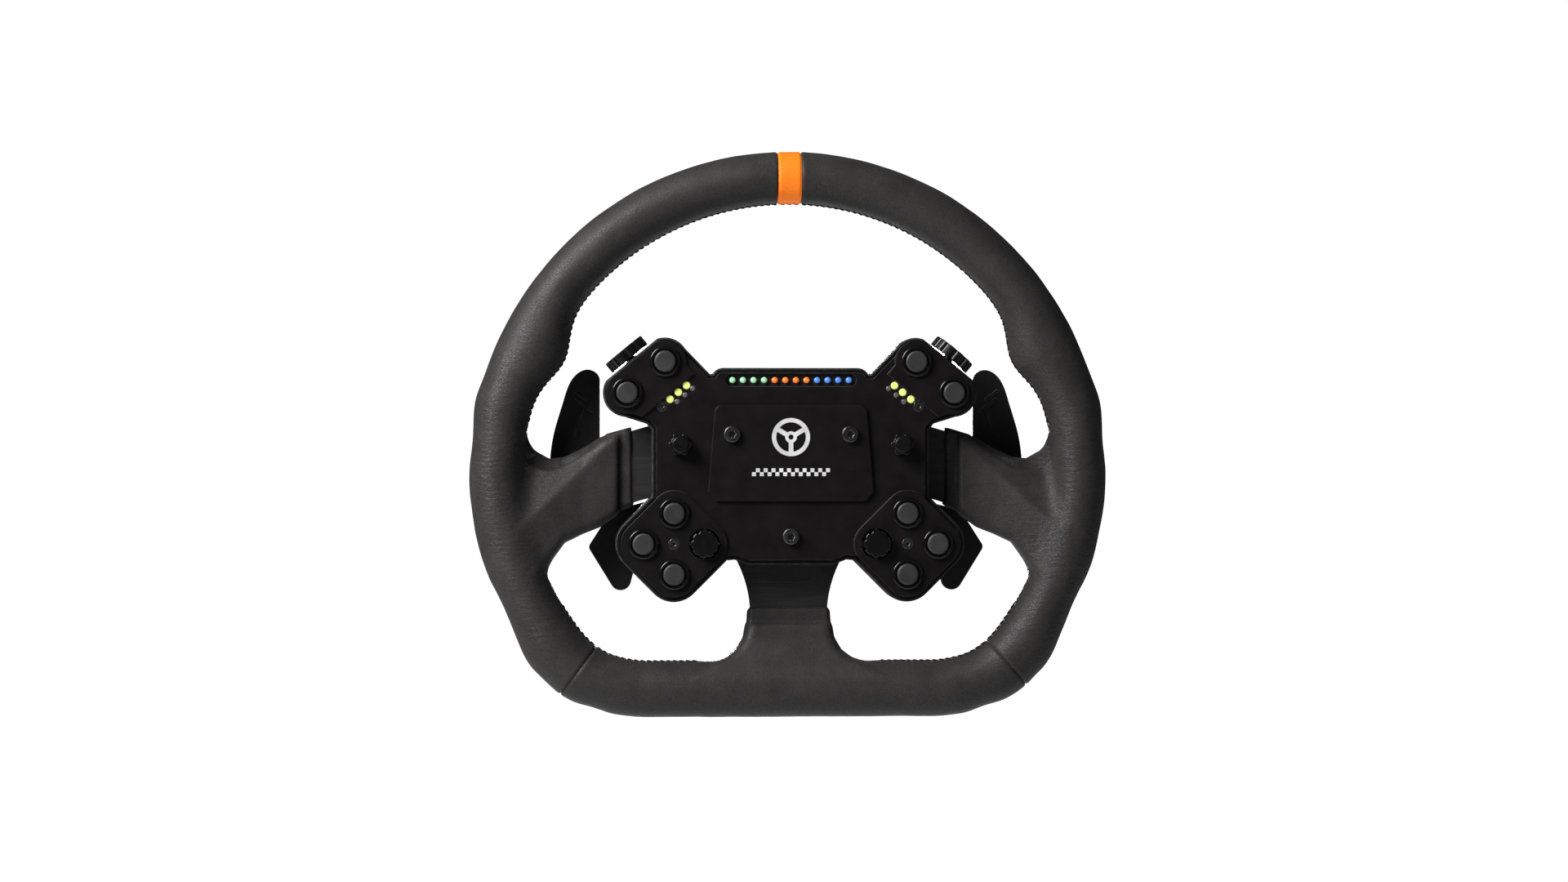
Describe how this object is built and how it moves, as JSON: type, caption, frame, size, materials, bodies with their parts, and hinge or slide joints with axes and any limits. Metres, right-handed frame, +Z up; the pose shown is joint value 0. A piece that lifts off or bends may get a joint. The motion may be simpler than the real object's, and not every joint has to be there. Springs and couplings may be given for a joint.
{
  "type": "racing wheel",
  "caption": "D-shaped sim-racing steering wheel with leather grip, button box with lights and knobs, rear shift and clutch paddles, and a bolt-circle hub.",
  "frame": {"origin": "centre of the hub's rear mounting face, on the wheel's axis", "axes": "+X to the driver's right, +Y forwards along the wheel's axis away from the driver, +Z up"},
  "size_m": [0.331, 0.06, 0.2932],
  "materials": {
    "frame_metal": "satin black anodised aluminium plate, brushed along the spokes",
    "foam": "matt polyurethane foam",
    "leather": "grained dark grey leather, low sheen",
    "marker_leather": "smooth orange leather",
    "front_plastic": "fine moulded texture, satin",
    "housing_plastic": "satin moulded black",
    "badge_print": "white print",
    "black_steel": "blackened steel",
    "board": "solder mask",
    "strip_board": "black solder mask",
    "led_green": "tinted lens",
    "led_orange": "tinted lens",
    "led_blue": "tinted lens",
    "led_yellow": "tinted lens",
    "led_clear": "smoked lens",
    "switch_plastic": "moulded",
    "encoder_metal": "plated housing",
    "cell": "plain sleeve",
    "bezel_plastic": "polished black",
    "cap_plastic": "satin dark grey",
    "knob_plastic": "semi-gloss black",
    "hub_aluminium": "black anodised, turned",
    "pin_steel": "ground steel",
    "magnet": "nickel plated",
    "arm_aluminium": "black anodised",
    "paddle_plastic": "satin black with raised ribs"
  },
  "bodies": {
    "wheel": {"spoke_frame": "frame_metal", "rim_foam": "foam", "leather_left": "leather", "leather_right": "leather", "leather_bottom": "leather", "centre_marker": "marker_leather", "front_plate": "front_plastic", "rear_housing": "housing_plastic", "centre_cover": "front_plastic", "badge": "badge_print", "hub_bolts": "black_steel", "plate_screws": "black_steel", "led_strip": "strip_board", "shift_leds_green": "led_green", "shift_leds_orange": "led_orange", "shift_leds_blue": "led_blue", "status_leds_yellow": "led_yellow", "status_leds_clear": "led_clear", "pod_boards": "board", "switch_blocks": "switch_plastic", "main_board": "board", "encoder_bodies": "encoder_metal", "batteries": "cell", "button_bezels": "bezel_plastic", "hub_spacer": "hub_aluminium", "spacer_screws": "black_steel", "paddle_casing": "housing_plastic", "casing_covers": "housing_plastic", "casing_screws": "black_steel", "pivot_pins": "pin_steel", "fixed_magnets": "magnet", "clutch_springs": "pin_steel"},
    "cap_left_upper_near": {"cap_left_upper_near": "cap_plastic"},
    "cap_left_upper_far": {"cap_left_upper_far": "cap_plastic"},
    "cap_left_lower_top": {"cap_left_lower_top": "cap_plastic"},
    "cap_left_lower_far": {"cap_left_lower_far": "cap_plastic"},
    "cap_left_lower_bottom": {"cap_left_lower_bottom": "cap_plastic"},
    "star_knob_left": {"star_knob_left": "knob_plastic"},
    "pod_knob_left": {"pod_knob_left": "knob_plastic"},
    "side_knob_left": {"side_knob_left": "knob_plastic"},
    "shifter_left": {"shifter_arm_left": "arm_aluminium", "shifter_blade_left": "paddle_plastic", "shifter_screws_left": "black_steel", "shifter_magnet_left": "magnet"},
    "clutch_left": {"clutch_lever_left": "paddle_plastic"},
    "cap_right_upper_near": {"cap_right_upper_near": "cap_plastic"},
    "cap_right_upper_far": {"cap_right_upper_far": "cap_plastic"},
    "cap_right_lower_top": {"cap_right_lower_top": "cap_plastic"},
    "cap_right_lower_far": {"cap_right_lower_far": "cap_plastic"},
    "cap_right_lower_bottom": {"cap_right_lower_bottom": "cap_plastic"},
    "star_knob_right": {"star_knob_right": "knob_plastic"},
    "pod_knob_right": {"pod_knob_right": "knob_plastic"},
    "side_knob_right": {"side_knob_right": "knob_plastic"},
    "shifter_right": {"shifter_arm_right": "arm_aluminium", "shifter_blade_right": "paddle_plastic", "shifter_screws_right": "black_steel", "shifter_magnet_right": "magnet"},
    "clutch_right": {"clutch_lever_right": "paddle_plastic"}
  },
  "joints": [
    {"name": "press_left_upper_near", "type": "slide", "parent": "wheel", "child": "cap_left_upper_near", "axis": [0, 1, 0], "range_m": [0, 0.0015], "stiffness_N_per_m": 900, "springref_m": -0.0012},
    {"name": "press_left_upper_far", "type": "slide", "parent": "wheel", "child": "cap_left_upper_far", "axis": [0, 1, 0], "range_m": [0, 0.0015], "stiffness_N_per_m": 900, "springref_m": -0.0012},
    {"name": "press_left_lower_top", "type": "slide", "parent": "wheel", "child": "cap_left_lower_top", "axis": [0, 1, 0], "range_m": [0, 0.0015], "stiffness_N_per_m": 900, "springref_m": -0.0012},
    {"name": "press_left_lower_far", "type": "slide", "parent": "wheel", "child": "cap_left_lower_far", "axis": [0, 1, 0], "range_m": [0, 0.0015], "stiffness_N_per_m": 900, "springref_m": -0.0012},
    {"name": "press_left_lower_bottom", "type": "slide", "parent": "wheel", "child": "cap_left_lower_bottom", "axis": [0, 1, 0], "range_m": [0, 0.0015], "stiffness_N_per_m": 900, "springref_m": -0.0012},
    {"name": "turn_star_left", "type": "hinge", "parent": "wheel", "child": "star_knob_left", "pos_m": [-0.057, -0.055, 0.0122], "axis": [0, -1, 0], "continuous": true},
    {"name": "turn_pod_left", "type": "hinge", "parent": "wheel", "child": "pod_knob_left", "pos_m": [-0.0443, -0.053, -0.0388], "axis": [0, -1, 0], "continuous": true},
    {"name": "turn_side_left", "type": "hinge", "parent": "wheel", "child": "side_knob_left", "pos_m": [-0.08416, -0.0375, 0.05876], "axis": [-0.6363, 0, 0.7715], "continuous": true},
    {"name": "pull_shifter_left", "type": "hinge", "parent": "wheel", "child": "shifter_left", "pos_m": [-0.062, -0.012, 0.004], "axis": [0, 0, 1], "range_deg": [0, 5], "stiffness_Nm_per_rad": 3, "springref_deg": -2.86},
    {"name": "pull_clutch_left", "type": "hinge", "parent": "wheel", "child": "clutch_left", "pos_m": [-0.062, -0.012, -0.024], "axis": [0, 0, 1], "range_deg": [0, 12], "stiffness_Nm_per_rad": 1.5, "springref_deg": -11.46},
    {"name": "press_right_upper_near", "type": "slide", "parent": "wheel", "child": "cap_right_upper_near", "axis": [0, 1, 0], "range_m": [0, 0.0015], "stiffness_N_per_m": 900, "springref_m": -0.0012},
    {"name": "press_right_upper_far", "type": "slide", "parent": "wheel", "child": "cap_right_upper_far", "axis": [0, 1, 0], "range_m": [0, 0.0015], "stiffness_N_per_m": 900, "springref_m": -0.0012},
    {"name": "press_right_lower_top", "type": "slide", "parent": "wheel", "child": "cap_right_lower_top", "axis": [0, 1, 0], "range_m": [0, 0.0015], "stiffness_N_per_m": 900, "springref_m": -0.0012},
    {"name": "press_right_lower_far", "type": "slide", "parent": "wheel", "child": "cap_right_lower_far", "axis": [0, 1, 0], "range_m": [0, 0.0015], "stiffness_N_per_m": 900, "springref_m": -0.0012},
    {"name": "press_right_lower_bottom", "type": "slide", "parent": "wheel", "child": "cap_right_lower_bottom", "axis": [0, 1, 0], "range_m": [0, 0.0015], "stiffness_N_per_m": 900, "springref_m": -0.0012},
    {"name": "turn_star_right", "type": "hinge", "parent": "wheel", "child": "star_knob_right", "pos_m": [0.057, -0.055, 0.0122], "axis": [0, -1, 0], "continuous": true},
    {"name": "turn_pod_right", "type": "hinge", "parent": "wheel", "child": "pod_knob_right", "pos_m": [0.0443, -0.053, -0.0388], "axis": [0, -1, 0], "continuous": true},
    {"name": "turn_side_right", "type": "hinge", "parent": "wheel", "child": "side_knob_right", "pos_m": [0.08416, -0.0375, 0.05876], "axis": [0.6363, 0, 0.7715], "continuous": true},
    {"name": "pull_shifter_right", "type": "hinge", "parent": "wheel", "child": "shifter_right", "pos_m": [0.062, -0.012, 0.004], "axis": [0, 0, -1], "range_deg": [0, 5], "stiffness_Nm_per_rad": 3, "springref_deg": -2.86},
    {"name": "pull_clutch_right", "type": "hinge", "parent": "wheel", "child": "clutch_right", "pos_m": [0.062, -0.012, -0.024], "axis": [0, 0, -1], "range_deg": [0, 12], "stiffness_Nm_per_rad": 1.5, "springref_deg": -11.46}
  ]
}
